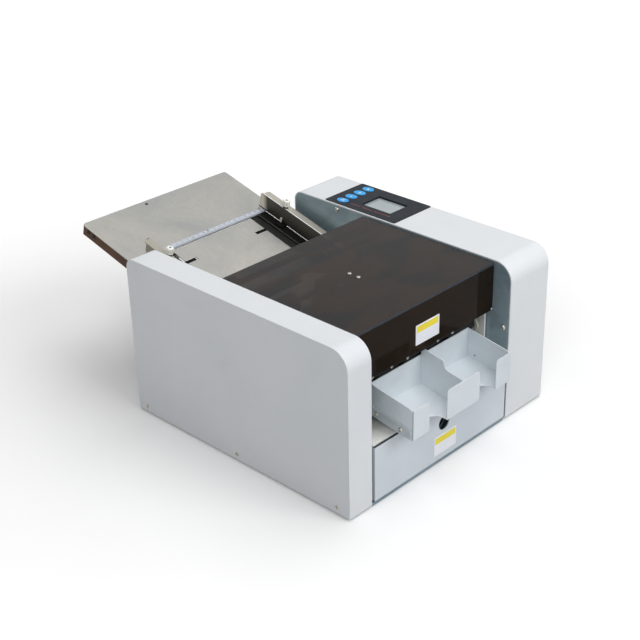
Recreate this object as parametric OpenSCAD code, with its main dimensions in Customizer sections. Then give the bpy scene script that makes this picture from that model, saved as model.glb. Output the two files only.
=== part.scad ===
// Desktop business card cutter. Sheets lie on the sloping table at the back, run under the smoked cover,
// are slit lengthwise and cut across, and drop as cards into the two-pocket tray at the front.
// X runs across the machine, Y from front to back, Z up. The floor is at Z 0.

/* [Body] */
// Width over both side covers
body_w = 394; // [392:1:400]
// Depth of the side covers
body_d = 394; // [392:1:400]
// Height of the side covers
cover_h = 228; // [227:1:232]
// Gap between the floor and the covers' lower edges
floor_gap = 3; // [3:0.5:4]
// Width of the left side cover
left_cover_w = 40.4; // [39:0.1:41]
// Width of the right side cover
right_cover_w = 82.7; // [82:0.1:84]
// Radius of the covers' front top corners
front_corner_r = 26; // [20:1:30]
// Radius of the covers' rear top corners
rear_corner_r = 14; // [12:1:20]
// Thickness of the painted steel sheet
sheet_t = 1.5; // [1.2:0.1:1.6]

/* [Feed table] */
// Slope of the table in degrees
table_angle = 15; // [14.5:0.5:15]
// Distance from the front faces back to the table's rear edge
table_rear = 542; // [538:1:550]
// Height of the table's rear edge above the floor
table_rear_z = 222; // [221:0.5:224]
// Width of the table
table_w = 266; // [264:1:266]
// Depth of the brown side rails
rail_depth = 18; // [16:1:18]
// Clear width between the paper guides
guide_gap = 213.5; // [212:0.5:214]
// Height of the paper guides above the table
guide_h = 26.3; // [24:0.1:28]

/* [Card tray] */
// Length of the tray's overhang in front of the machine
tray_overhang = 32; // [28:1:36]
// Outer width of the tray
tray_w = 193; // [190:1:196]
// Height of the tray's front flanges
tray_h = 42; // [38:1:44]
// Width of one finger gap between the front flanges
finger_gap = 34; // [28:1:38]

/* [Paper path] */
// Height of the paper path above the floor
path_z = 145.6; // [145.4:0.1:145.8]
// Width of one card across the machine
card_w = 90; // [85:1:91]
// Width of the waste strip between the two rows of cards
gutter = 4; // [4:0.5:6]

/* [Drawer] */
// Height of the drawer's front above the floor
drawer_top = 83; // [81:0.5:83]
// Depth of the drawer's bin
bin_d = 325; // [300:5:330]

/* [Hidden] */
$fn = 48;

// Front faces of the covers, so that the machine is centred on Y = 0 from tray flange to table rail
rear_reach = table_rear + rail_depth * sin(table_angle);
front_y = (tray_overhang - rear_reach) / 2;
left_x = -body_w / 2;
right_x = body_w / 2;
bay_left = left_x + left_cover_w;
bay_right = right_x - right_cover_w;
bay_mid = (bay_left + bay_right) / 2;
cover_top = floor_gap + cover_h;

// Frame plates stand 2.1 mm inside the bay and are 3 mm thick
frame_t = 3;
frame_gap = 2.1;
frame_left = bay_left + frame_gap + frame_t;
frame_right = bay_right - frame_gap - frame_t;
panel_t = 1.2;
base_z = 2;
base_t = 2;
base_top = base_z + base_t;

// Centre of the paper across the machine, and of the tray
feed_x = -15.4;
tray_x = bay_mid;

// Shafts: distance back from the front faces, height, shaft radius, bush radius
nip = 0.1;
feed_roller_r = 9 - nip;
slitter_r = 15.8;
delivery_low_r = 15.4;
delivery_top_r = 7.2;
pickup_r = 14;
crank_r = 10;
PICKUP = [243, 157.1, 4, 7];
FEED_LOW = [212, path_z - 9, 4, 7];
FEED_TOP = [212, path_z + 9, 4, 7];
SLIT_LOW = [150, path_z - 15, 5, 8];
SLIT_TOP = [150, path_z + 15, 5, 8];
OUT_LOW = [57, path_z - nip - delivery_low_r, 5, 8];
OUT_TOP = [57, path_z + nip + delivery_top_r, 3.5, 6];
CRANK = [100, 189, 6, 9];
MOTOR = [150, 62, 4, 0];
HINGE = [250, 217, 4, 8];
BUSHES = [PICKUP, FEED_LOW, FEED_TOP, SLIT_LOW, SLIT_TOP, OUT_LOW, OUT_TOP, CRANK];
running = 0.05;

// Belt pulleys stand in three lanes outside the right frame plate
lane_w = 6;
LANES = [bay_right + 3.7, bay_right + 11.7, bay_right + 19.7];
pulley_r = 12;
// The feed rollers turn faster than the slitter, and the pickup roller slower, by their diameters
feed_drive_r = 16;
feed_pulley_r = 9;
top_pulley_r = 7.6;
belt_t = 1.5;
belt_gap = 0.3;

// Gears stand in the left cover
gear_x = left_x + 21;
gear_w = 8;
gear_module = 1.5;

// Motor bracket in the right cover
bracket_x = 144;
bracket_t = 3;

// Smoked cover
acrylic_t = 3;
smoked_front_d = 27;
smoked_rear_d = 257;
smoked_top_z = 228.5;
smoked_bottom_z = 160.4;
smoked_gap_left = 1;
smoked_gap_right = 3;

// Control panel on top of the right cover
bezel_t = 0.8;
KEY_X = [130.6, 148.4, 166.5, 184.7];
key_d = 312.6;
key_half_w = 6.8;
key_half_l = 9.7;
key_gap = 0.35;
window_x = 136.9;
window_w = 40.4;
window_d = 228.3;
window_l = 56;

// Card tray, measured back from the front faces
tray_t = 1.2;
tray_back = 38.6;
tray_rear_z = 144.2;
tray_front_z = 132.5;
tray_slope = (tray_rear_z - tray_front_z) / (tray_back + tray_overhang);

// Waste drawer front
drawer_left = bay_left + 5.2;
drawer_right = bay_right - 3.6;
drawer_z = 6;

// Lift plate and side guides, in the table's own slope
lift_w = 150;
lift_front = 240;
lift_rear = 431;
table_front = 262;
ruler_front = 433;
ruler_rear = 441.5;
ruler_t = 1.6;
guide_rear = 447.5;
clamp_d = 400.5;
stud_r = 1.5;
guide_t = 1.5;
// How far each guide slides in and out from its place in the photograph's setting
guide_in = 14;
guide_out = 1;
flange_w = 11.6;
foot_w = 16.5;
slot_plate_t = 1.5;

function back(d) = front_y + d;
function slope_z(d) = table_rear_z + (d - table_rear) * tan(table_angle);
function slope_y(d) = (d - table_rear) / cos(table_angle);

// ---- shared shapes ----

module block(x0, x1, y0, y1, z0, z1) {
  translate([x0, y0, z0]) cube([x1 - x0, y1 - y0, z1 - z0]);
}

// A round bar along X at distance d back and height z
module bar_x(x0, x1, d, z, r) {
  translate([x0, back(d), z]) rotate([0, 90, 0]) cylinder(h = x1 - x0, r = r);
}

// Extrudes an outline drawn in Y and Z along X
module along_x(x0, x1) {
  translate([x0, 0, 0]) rotate([90, 0, 90]) linear_extrude(x1 - x0) children();
}

// Places children in the table's frame: Y up the slope, Z square to it, origin at the rear edge
module on_table() {
  translate([0, back(table_rear), table_rear_z]) rotate([table_angle, 0, 0]) children();
}

// Side outline of the covers, moved in by inset, from height z0 up
module cover_outline(inset, z0) {
  y0 = front_y + inset;
  y1 = front_y + body_d - inset;
  z1 = cover_top - inset;
  rf = front_corner_r - inset;
  rr = rear_corner_r - inset;
  union() {
    translate([y0, z0]) square([y1 - y0, z1 - rf - z0]);
    translate([y0 + rf, z0]) square([y1 - y0 - rf, z1 - rr - z0]);
    translate([y0 + rf, z0]) square([y1 - y0 - rf - rr, z1 - z0]);
    translate([y0 + rf, z1 - rf]) circle(r = rf);
    translate([y1 - rr, z1 - rr]) circle(r = rr);
  }
}

// Flat plate with rounded corners, centred on X, in the XY plane
module round_plate(x0, x1, y0, y1, h, r) {
  linear_extrude(h) union() {
    translate([x0 + r, y0]) square([x1 - x0 - 2 * r, y1 - y0]);
    translate([x0, y0 + r]) square([x1 - x0, y1 - y0 - 2 * r]);
    for (x = [x0 + r, x1 - r], y = [y0 + r, y1 - r]) translate([x, y]) circle(r = r);
  }
}

// Countersunk screw whose head lies in the plane X = 0 and whose shank runs towards +X
module flat_screw(head_r, shank_r, length) {
  difference() {
    rotate([0, 90, 0]) union() {
      cylinder(h = head_r - shank_r, r1 = head_r, r2 = shank_r);
      cylinder(h = length, r = shank_r);
    }
    for (turn = [0, 90]) rotate([turn, 0, 0]) block(-1, 0.9, -head_r * 0.6, head_r * 0.6, -0.4, 0.4);
  }
}

// Pan head screw: the head stands towards -X from the plane X = 0, the shank runs towards +X
module pan_screw(head_r, shank_r, length) {
  head_h = head_r * 0.55;
  difference() {
    rotate([0, 90, 0]) union() {
      translate([0, 0, -head_h / 2]) cylinder(h = head_h / 2, r = head_r);
      translate([0, 0, -head_h]) cylinder(h = head_h / 2, r1 = head_r * 0.7, r2 = head_r);
      cylinder(h = length, r = shank_r);
    }
    for (turn = [0, 90]) rotate([turn, 0, 0])
      block(-head_h - 1, -head_h + 0.8, -head_r * 0.55, head_r * 0.55, -0.35, 0.35);
  }
}

// Pulley with two rims in a lane
module pulley(x, s, r) {
  bar_x(x, x + lane_w, s[0], s[1], r);
  bar_x(x - 0.8, x, s[0], s[1], r + 2.4);
  bar_x(x + lane_w, x + lane_w + 0.8, s[0], s[1], r + 2.4);
}

// Belt loop round a pulley of radius ra at shaft a and one of radius rb at shaft b
module belt(x, a, ra, b, rb) {
  span = norm([b[0] - a[0], b[1] - a[1]]);
  tilt = atan2(b[1] - a[1], b[0] - a[0]);
  translate([0, back(a[0]), a[1]]) rotate([tilt, 0, 0]) along_x(x + 0.5, x + lane_w - 0.5)
    difference() {
      belt_outline(span, ra + belt_gap + belt_t, rb + belt_gap + belt_t);
      belt_outline(span, ra + belt_gap, rb + belt_gap);
    }
}

module belt_outline(span, ra, rb) {
  if (ra == rb) {
    union() {
      circle(r = ra);
      translate([0, -ra]) square([span, 2 * ra]);
      translate([span, 0]) circle(r = ra);
    }
  } else {
    hull() {
      circle(r = ra);
      translate([span, 0]) circle(r = rb);
    }
  }
}

// Spur gear outline with a tooth at angle phase
module gear_outline(teeth, phase) {
  pitch_r = teeth * gear_module / 2;
  step = 360 / teeth;
  tip_r = pitch_r + 0.8 * gear_module;
  root_r = pitch_r - 1.15 * gear_module;
  polygon([for (k = [0 : teeth - 1], p = [[root_r, -0.28], [pitch_r, -0.18], [tip_r, -0.07],
      [tip_r, 0.07], [pitch_r, 0.18], [root_r, 0.28]])
    [p[0] * cos(phase + (k + p[1]) * step), p[0] * sin(phase + (k + p[1]) * step)]]);
}

module gear(s, teeth, phase) {
  translate([0, back(s[0]), s[1]]) along_x(gear_x, gear_x + gear_w) gear_outline(teeth, phase);
}

// ---- frame, base and covers ----

SCREW_D = [22, 198.5, 377];
screw_z = 11.3;
flange_top = 20;
flange_in = 1.6;

module base_plate() {
  color("LightSlateGray") difference() {
    union() {
      block(left_x + flange_in, right_x - flange_in, back(3), back(body_d - 2), base_z, base_top);
      base_lip();
      for (x = [frame_left + 20, frame_right - 30])
        block(x, x + 10, back(12), back(330), base_top, drawer_z - 0.2);
      for (x = [left_x + flange_in, right_x - flange_in - sheet_t])
        block(x, x + sheet_t, back(3), back(body_d - 2), base_z, flange_top);
    }
    for (d = SCREW_D) bar_x(left_x - 1, right_x + 1, d, screw_z, 2);
    for (x = FOOT_X, d = FOOT_D) translate([x, back(d), base_z - 1]) cylinder(h = base_t + 2, r = 3);
  }
}

// Upturned front edge under the drawer, with a rounded lower corner at the right
module base_lip() {
  r = 4;
  lip_z = 1.2;
  x0 = bay_left + 0.6;
  x1 = drawer_right;
  translate([0, back(2.2), 0]) rotate([90, 0, 0]) linear_extrude(2) union() {
    translate([x0, lip_z]) square([x1 - r - x0, drawer_z - 0.5 - lip_z]);
    translate([x1 - r, lip_z + r]) square([r, drawer_z - 0.5 - lip_z - r]);
    translate([x1 - r, lip_z + r]) intersection() {
      circle(r = r);
      translate([0, -r]) square([r, r]);
    }
  }
  block(x0, x1 - r, back(2), back(3.2), base_z, base_top);
}

FOOT_X = [left_x + 30, right_x - 30];
FOOT_D = [30, body_d - 32];

module rubber_feet() {
  color("DimGray") for (x = FOOT_X, d = FOOT_D) translate([x, back(d), 0]) union() {
    cylinder(h = base_z, r1 = 11, r2 = 12);
    cylinder(h = base_top + 2, r = 3);
    translate([0, 0, base_top]) cylinder(h = 2.5, r1 = 5, r2 = 3.5);
  }
}

// Outline of a frame plate in Y and Z
module frame_outline() {
  front_d = 37.5;
  rear_d = 384;
  step_d = 256;
  lug_d = 244.5;
  top_z = 213;
  union() {
    polygon([
      [back(front_d), base_top], [back(rear_d), base_top],
      [back(rear_d), slope_z(rear_d) - rail_depth / cos(table_angle)],
      [back(step_d), slope_z(step_d) - rail_depth / cos(table_angle)],
      [back(step_d), HINGE[1]], [back(lug_d), HINGE[1]],
      [back(lug_d), top_z], [back(front_d + 14), top_z], [back(front_d), top_z - 14]
    ]);
    translate([back(HINGE[0]), HINGE[1]]) circle(r = HINGE[3]);
  }
}

module frame_plate(x) {
  difference() {
    along_x(x, x + frame_t) frame_outline();
    for (s = BUSHES) bar_x(x - 1, x + frame_t + 1, s[0], s[1], s[3]);
    bar_x(x - 1, x + frame_t + 1, HINGE[0], HINGE[1], HINGE[2]);
    for (d = [90, 320]) bar_x(x - 1, x + frame_t + 1, d, 100, 14);
  }
}

module left_frame_plate() {
  color("WhiteSmoke") frame_plate(frame_left - frame_t);
}

module right_frame_plate() {
  color("WhiteSmoke") frame_plate(frame_right);
}

module left_side_cover() {
  color("Gainsboro") difference() {
    along_x(left_x, bay_left) cover_outline(0, floor_gap);
    along_x(left_x + sheet_t, bay_left + 1) cover_outline(sheet_t, floor_gap - 1);
    for (d = SCREW_D) translate([left_x, back(d), screw_z]) rotate([0, 90, 0])
      union() {
        cylinder(h = sheet_t, r1 = 3.8, r2 = 2.3);
        cylinder(h = 5, r = 2.3);
      }
  }
}

module right_side_cover() {
  color("Gainsboro") difference() {
    along_x(bay_right, right_x) cover_outline(0, floor_gap);
    along_x(bay_right - 1, right_x - sheet_t) cover_outline(sheet_t, floor_gap - 1);
    for (d = SCREW_D) translate([right_x, back(d), screw_z]) rotate([0, -90, 0])
      union() {
        cylinder(h = sheet_t, r1 = 3.8, r2 = 2.3);
        cylinder(h = 5, r = 2.3);
      }
    window_box(0, cover_top - 4, cover_top + 1);
    key_cutouts(cover_top - 4, cover_top + 1);
  }
}

// Openings for the four keys
module key_cutouts(z0, z1) {
  for (x = KEY_X) translate([x, back(key_d), z0]) linear_extrude(z1 - z0) key_outline(key_gap);
}

// Oval of a key, grown by grow all round
module key_outline(grow) {
  polygon([for (k = [0 : 47])
    [(key_half_w + grow) * cos(k * 7.5), (key_half_l + grow) * sin(k * 7.5)]]);
}

module inner_panel(x, shafts) {
  difference() {
    along_x(x, x + panel_t) cover_outline(sheet_t, base_top);
    for (s = shafts) bar_x(x - 1, x + panel_t + 1, s[0], s[1], s[3] + 6);
    for (p = PANEL_SCREWS) bar_x(x - 1, x + panel_t + 1, p[0], p[1], 1.6);
  }
}

PANEL_SCREWS = [[10.4, 138.4], [309.4, 223.3]];
panel_head_r = 3.8;

module left_inner_panel() {
  color("LightSlateGray") inner_panel(bay_left - panel_t, [FEED_LOW, FEED_TOP, SLIT_LOW, SLIT_TOP]);
}

module right_inner_panel() {
  color("LightSlateGray") inner_panel(bay_right, [PICKUP, FEED_LOW, FEED_TOP, SLIT_LOW, OUT_LOW, CRANK]);
}

module cover_screws() {
  color("Silver") {
    for (d = SCREW_D) {
      translate([left_x, back(d), screw_z]) flat_screw(3.7, 2, 8);
      translate([right_x, back(d), screw_z]) mirror([1, 0, 0]) flat_screw(3.7, 2, 8);
    }
    for (p = PANEL_SCREWS) {
      translate([bay_right, back(p[0]), p[1]]) pan_screw(panel_head_r, 1.6, 4);
      translate([bay_left, back(p[0]), p[1]]) mirror([1, 0, 0])
        pan_screw(panel_head_r, 1.6, 4);
    }
  }
}

// Rear panel with cooling slots and the mains fittings
rear_d = 386;
rear_top_z = 157;
INLET = [bay_left + 38, 40];
pivot_in = 2;
rocker_x = 30;
rocker_w = 16;

module rear_panel() {
  color("Gainsboro") difference() {
    union() {
      block(bay_left + 0.3, bay_right - 0.3, back(rear_d), back(rear_d + sheet_t),
        base_top, rear_top_z);
      block(frame_left + 0.2, frame_right - 0.2, back(rear_d - 10), back(rear_d),
        base_top, base_top + sheet_t);
    }
    translate([INLET[0], back(rear_d), INLET[1]]) block(-14.2, 40.8, -12, 5, -11.2, 11.2);
    for (k = [0 : 9]) translate([bay_right - 120 + k * 11, back(rear_d - 1), 60]) cube([5, 4, 70]);
  }
}

// Mains inlet and rocker switch share one housing: a flange outside, the body inside the panel
module power_inlet() {
  depth = 17;
  color("DimGray") at_inlet() difference() {
    union() {
      block(-16, 42.5, 0, 2.5, -13, 13);
      block(-14, 40.5, -depth - 2, 0, -11, 11);
    }
    block(-12.2, 12.2, 2.5 - depth, 3, -8.3, 5);
    block(-8.5, 8.5, 2.5 - depth, 3, -8.3, 8.3);
    block(rocker_x - rocker_w / 2 - 0.4, rocker_x + rocker_w / 2 + 0.4, -10, 3, -6.6, 6.6);
    translate([rocker_x - 9.6, -pivot_in, 0]) rotate([0, 90, 0]) cylinder(h = 19.2, r = 1 + running);
  }
  color("Silver") at_inlet()
    for (p = [[-7, -2], [0, 3], [7, -2]]) block(p[0] - 1, p[0] + 1, -depth, -5.5, p[1] - 2, p[1] + 2);
}

module at_inlet() {
  translate([INLET[0], back(rear_d + sheet_t), INLET[1]]) children();
}

// Rocker tipped to one side, on its pivot pins
module power_switch() {
  color("DimGray") at_inlet() translate([rocker_x, -pivot_in, 0]) rotate([8, 0, 0]) union() {
    along_x(-rocker_w / 2, rocker_w / 2)
      polygon([[-4, -4], [2, -5.2], [5.8, -5.2], [4.8, 0], [5.8, 5.2], [2, 5.2], [-4, 4]]);
    translate([-9.2, 0, 0]) rotate([0, 90, 0]) cylinder(h = 18.4, r = 1);
  }
}

// ---- waste drawer ----

module drawer_front() {
  fold = 10;
  color("Gainsboro") difference() {
    union() {
      block(drawer_left, drawer_right, back(0), back(sheet_t), drawer_z, drawer_top);
      for (x = [drawer_left, drawer_right - sheet_t])
        block(x, x + sheet_t, back(0), back(fold), drawer_z, drawer_top);
      for (z = [drawer_z, drawer_top - sheet_t])
        block(drawer_left, drawer_right, back(0), back(fold), z, z + sheet_t);
    }
    translate([-18.6, back(-1), 58]) rotate([-90, 0, 0]) cylinder(h = 4, r = 10.5);
  }
}

module drawer_bin() {
  x0 = frame_left + 1.5;
  x1 = frame_right - 1.5;
  y0 = back(fold_end);
  y1 = back(fold_end + bin_d);
  z1 = drawer_top - 8;
  color("LightSlateGray") difference() {
    block(x0, x1, y0, y1, drawer_z, z1);
    block(x0 + tray_t, x1 - tray_t, y0 + tray_t, y1 - tray_t, drawer_z + tray_t, z1 + 1);
    translate([-18.6, y0 - 1, 58]) rotate([-90, 0, 0]) cylinder(h = 4, r = 13);
  }
}

fold_end = 10;

module drawer_bay_top() {
  z = 84.5;
  color("WhiteSmoke") difference() {
    union() {
      block(frame_left, frame_right, back(3), back(340), z, z + sheet_t);
      for (x = [frame_left, frame_right - sheet_t])
        block(x, x + sheet_t, back(45), back(340), z, z + 9);
    }
    block(frame_left + 12, frame_right - 12, back(62), back(300), z - 1, z + 3);
  }
}

// ---- card tray ----

tray_left = tray_x - tray_w / 2;
tray_right = tray_x + tray_w / 2;
function tray_top(d) = tray_front_z + (d + tray_overhang) * tray_slope;

// Side outline of the tray between two distances back, moved up from the floor by lift
module tray_outline(d0, d1, lift) {
  polygon([
    [back(d0), tray_top(d0) - tray_h + lift], [back(d1), tray_top(d1) - tray_h + lift],
    [back(d1), tray_top(d1) + (lift > 0 ? 20 : 0)], [back(d0), tray_top(d0) + (lift > 0 ? 20 : 0)]
  ]);
}

flange_l = (tray_w - 2 * finger_gap - 64.6) / 2;

// Gap between two front flanges, drawn in X and Z: straight sides and rounded flange corners
module gap_outline(r) {
  union() {
    square([finger_gap, tray_h + 10]);
    for (side = [0, 1]) translate([side * finger_gap, tray_h - r]) difference() {
      translate([-r, 0]) square([2 * r, r + 10]);
      translate([(side * 2 - 1) * r, 0]) circle(r = r);
    }
  }
}

module card_tray() {
  d0 = -tray_overhang;
  floor_z = tray_front_z - tray_h;
  r = 4;
  color("LightSteelBlue") difference() {
    along_x(tray_left, tray_right) tray_outline(d0, tray_back, 0);
    along_x(tray_left + tray_t, tray_right - tray_t)
      tray_outline(d0 + tray_t, tray_back - tray_t, tray_t);
    for (x0 = [tray_left + flange_l, tray_right - flange_l - finger_gap]) {
      translate([x0, back(d0) + tray_t, floor_z]) rotate([90, 0, 0]) linear_extrude(tray_t + 1)
        gap_outline(r);
      translate([x0 + finger_gap / 2, back(d0) + tray_t, floor_z - 1])
        cylinder(h = 12, r = finger_gap / 2);
    }
    along_x(tray_left - 1, tray_right + 1) difference() {
      translate([back(d0) + tray_t, tray_front_z - r]) square([r, r + 2]);
      translate([back(d0) + tray_t + r, tray_front_z - r]) circle(r = r);
    }
    bracket_holes();
  }
}

// Upright between the two pockets, with a tab over the rear wall and a step down towards the front
module tray_divider() {
  d0 = -tray_overhang + tray_t + 0.1;
  d1 = tray_back - tray_t - 0.1;
  floor_lift = tray_t + 0.1 - tray_h;
  t = 1.2;
  step_r = 4;
  color("LightSteelBlue") union() {
    along_x(tray_x - t / 2, tray_x + t / 2) difference() {
      union() {
        polygon([
          [back(d0), tray_top(d0) + floor_lift], [back(d1), tray_top(d1) + floor_lift],
          [back(d1), tray_rear_z + 5], [back(31), 154], [back(28.4), 153.6], [back(5.2), 149.3],
          [back(0.8), 145.5], [back(-1.2), 139.6], [back(-1.2), 137.6], [back(d0), tray_front_z - 0.4]
        ]);
        translate([back(4.7), 145.4]) circle(r = step_r);
        translate([back(-5.4), 135]) square([4.3, 5.2]);
      }
      translate([back(-5.3), 141]) circle(r = step_r);
    }
    along_x(tray_x - t / 2, tray_x + 9) polygon([
      [back(d0 + 20), tray_top(d0 + 20) + floor_lift],
      [back(d1 - 5), tray_top(d1 - 5) + floor_lift],
      [back(d1 - 5), tray_top(d1 - 5) + floor_lift + t],
      [back(d0 + 20), tray_top(d0 + 20) + floor_lift + t]
    ]);
  }
}

// Bars along the tray's sides with arms back to the frame plates
bracket_t_x = 3;
bracket_h = 13;
arm_d = 40.4;
BRACKET_SCREWS = [25, -14];
function bracket_z(d) = tray_top(d) - tray_h + 1;

module tray_bracket(bar_in, bar_out, plate_x) {
  x0 = min(bar_in, bar_out);
  x1 = max(bar_in, bar_out);
  along_x(x0, x1) polygon([
    [back(-tray_overhang + 2), bracket_z(-tray_overhang + 2)], [back(arm_d), bracket_z(arm_d)],
    [back(arm_d), bracket_z(arm_d) + bracket_h], [back(-tray_overhang + 2), bracket_z(-30) + bracket_h]
  ]);
  block(min(plate_x, bar_in), max(plate_x, bar_in), back(arm_d), back(arm_d + sheet_t),
    bracket_z(arm_d), bracket_z(arm_d) + bracket_h);
}

module tray_brackets() {
  color("LightSlateGray") difference() {
    union() {
      tray_bracket(tray_left, tray_left - bracket_t_x, frame_left);
      tray_bracket(tray_right, tray_right + bracket_t_x, frame_right);
    }
    bracket_holes();
  }
}

module bracket_holes() {
  for (d = BRACKET_SCREWS)
    bar_x(tray_left - 10, tray_right + 10, d, bracket_z(d) + bracket_h / 2, small_screw_r);
}

small_screw_r = 1.6;
EXIT_SCREWS = [76.8, 112.6, 142.2, 201.4, 231];
exit_screw_z = 155.7;
RAIL_SCREWS = [531.5, 520.2];
rail_screw_z = -8.6;

module bracket_screws() {
  length = bracket_t_x + tray_t + 0.9;
  color("Silver") {
    for (d = BRACKET_SCREWS) {
      z = bracket_z(d) + bracket_h / 2;
      translate([tray_left - bracket_t_x, back(d), z]) pan_screw(3, small_screw_r, length);
      translate([tray_right + bracket_t_x, back(d), z]) mirror([1, 0, 0])
        pan_screw(3, small_screw_r, length);
    }
    for (x = EXIT_SCREWS)
      translate([left_x + x, back(exit_bar_d), exit_screw_z]) rotate([0, 0, 90])
        pan_screw(2.2, 1.2, 2.4);
    on_table() for (side = [-1, 1], d = RAIL_SCREWS)
      translate([table_cx + side * (table_w / 2 - sheet_t), slope_y(d), rail_screw_z])
        mirror([side > 0 ? 1 : 0, 0, 0]) pan_screw(3, small_screw_r, rail_t);
  }
}

exit_bar_d = 32;
exit_bar_right = 79.4;

module exit_bar() {
  color("DimGray") difference() {
    union() {
      block(frame_left, exit_bar_right, back(exit_bar_d), back(exit_bar_d + 2.4), 153.5, 168);
      block(frame_left, exit_bar_right, back(exit_bar_d), back(exit_bar_d + 9), 153.5, 155);
    }
    for (x = EXIT_SCREWS) translate([left_x + x, back(exit_bar_d) - 1, exit_screw_z])
      rotate([-90, 0, 0]) cylinder(h = 12, r = 1.2);
  }
}

// ---- smoked cover ----

smoked_left = bay_left + smoked_gap_left;
smoked_right = bay_right - smoked_gap_right;

module smoked_top() {
  color([0.25, 0.22, 0.2, 0.7]) difference() {
    block(smoked_left, smoked_right, back(smoked_front_d), back(smoked_rear_d),
      smoked_top_z - acrylic_t, smoked_top_z);
    for (p = FITTING_SCREWS) translate([p[0], back(p[1]), smoked_top_z - acrylic_t - 1])
      cylinder(h = acrylic_t + 2, r = fitting_screw_r);
  }
}

module smoked_front() {
  y0 = back(smoked_front_d);
  cut = 2;
  color([0.25, 0.22, 0.2, 0.7]) translate([0, y0 + acrylic_t, 0]) rotate([90, 0, 0])
    linear_extrude(acrylic_t) polygon([
      [smoked_left, smoked_bottom_z], [smoked_right - cut, smoked_bottom_z],
      [smoked_right, smoked_bottom_z + cut], [smoked_right, smoked_top_z - acrylic_t],
      [smoked_left, smoked_top_z - acrylic_t]
    ]);
}

// Hinge blocks on the rod, two screws through the top plate and the magnet block that they hold
FITTING_SCREWS = [[-36.6, 145], [-37, 129.3]];
fitting_screw_r = 1.2;

module cover_fittings() {
  under = smoked_top_z - acrylic_t;
  color("WhiteSmoke") difference() {
    for (x = [frame_left + 2, frame_right - 16])
      block(x, x + 14, back(HINGE[0] - 7), back(HINGE[0] + 6), HINGE[1] - 7, under);
    bar_x(frame_left, frame_right, HINGE[0], HINGE[1], HINGE[2] + running);
  }
  color("WhiteSmoke") block(-42, -31.5, back(124), back(150), under - 7, under);
  color("Silver") for (p = FITTING_SCREWS) translate([p[0], back(p[1]), smoked_top_z])
    rotate([0, 90, 0]) pan_screw(2.6, fitting_screw_r, 6);
}

// ---- control panel ----

// Overlay with a lip that lines the edge of the display's window
module control_bezel() {
  top = cover_top + bezel_t;
  lip_gap = 0.1;
  lip_t = 0.9;
  lip_z = 229;
  color("DimGray") difference() {
    union() {
      translate([0, 0, cover_top]) round_plate(116.6, 196.6, back(203), back(335), bezel_t, 3);
      window_box(lip_gap, lip_z, top);
    }
    window_box(lip_gap + lip_t, lip_z - 1, top + 1);
    key_cutouts(cover_top - 1, top + 1);
  }
}

// Block over the display's window, moved in from its edges by inset
module window_box(inset, z0, z1) {
  block(window_x + inset, window_x + window_w - inset,
    back(window_d + inset), back(window_d + window_l - inset), z0, z1);
}

module lcd_display() {
  color("Silver") union() {
    window_box(0.6, board_top, lcd_z);
    block(window_x + 3, window_x + window_w - 3, back(window_d + window_l - 0.6),
      back(window_d + window_l + 3), board_top, board_top + 2);
  }
}

lcd_z = 228.7;
board_z = 222;
board_top = 223.6;

// Oval key: cap through the cover, with a collar that stays under it and a sunk symbol, the children
module key(x) {
  cap_z = cover_top + bezel_t + 0.5;
  collar_z = 228.2;
  color("DodgerBlue") translate([x, back(key_d), 0]) difference() {
    union() {
      translate([0, 0, collar_z]) linear_extrude(cap_z - collar_z) key_outline(0);
      translate([0, 0, collar_z]) linear_extrude(1) key_outline(1.2);
    }
    translate([0, 0, cap_z - symbol_depth]) linear_extrude(symbol_depth + 1) children();
  }
}

symbol_depth = 0.3;

module symbol_bar(l, w, y) {
  translate([-l / 2, y - w / 2]) square([l, w]);
}

module menu_key() {
  key(KEY_X[0]) union() {
    for (y = [-2.2, 0, 2.2]) symbol_bar(6.8, 0.9, y);
  }
}

module minus_key() {
  key(KEY_X[1]) symbol_bar(5.2, 1, 0);
}

module plus_key() {
  key(KEY_X[2]) union() {
    symbol_bar(5.2, 1, 0);
    symbol_bar(1, 5.2, 0);
  }
}

module start_key() {
  key(KEY_X[3]) polygon([[-2, -2.4], [2.4, 0], [-2, 2.4]]);
}

// Key and display board under the panel, and the power board in the right cover
module circuit_boards() {
  color("SeaGreen") {
    block(122, 194.5, back(212), back(330), board_z, board_top);
    for (x = KEY_X) translate([x, back(key_d), board_top]) cylinder(h = 3.2, r = 3);
    for (x = [126, 190], d = [218, 296]) translate([x, back(d), board_top])
      cylinder(h = cover_top - sheet_t - board_top, r = 2);
    block(bay_right + 12, right_x - 10, back(250), back(366), 16, 17.6);
    for (x = [bay_right + 18, right_x - 16], d = [256, 360]) translate([x, back(d), base_top])
      cylinder(h = 12, r = 3);
    block(bay_right + 20, bay_right + 48, back(262), back(290), 17.6, 45);
    block(bay_right + 20, bay_right + 58, back(300), back(318), 17.6, 52);
    for (d = [330, 350]) translate([bay_right + 34, back(d), 17.6]) cylinder(h = 30, r = 8);
  }
}

// ---- feed table, guides and lift plate ----

table_cx = bay_mid;
table_left = table_cx - table_w / 2;
table_right = table_cx + table_w / 2;
cut_left = feed_x - 117;
cut_right = feed_x + 117;

// Stainless table, with its side edges folded down over the rails
module feed_table() {
  r = 4;
  fold_h = 2.4;
  t = sheet_t;
  y0 = slope_y(table_front);
  color("LightGray") on_table() translate([0, 0, -t]) difference() {
    union() {
      linear_extrude(t) union() {
        translate([table_left, y0]) square([table_w, -y0 - r]);
        translate([table_left + r, y0]) square([table_w - 2 * r, -y0]);
        for (x = [table_left + r, table_right - r]) translate([x, -r]) circle(r = r);
      }
      for (x = [table_left, table_right - t]) block(x, x + t, y0, -r, t - fold_h, t);
    }
    block(cut_left, cut_right, y0 - 1, slope_y(ruler_front), -1, t + 1);
    translate([left_x + 150, slope_y(535), -1]) cylinder(h = t + 2, r = 1.8);
  }
}

// Brown rails under the table's turned-down edges, with a lip under the sheet
rail_t = 2;

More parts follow.
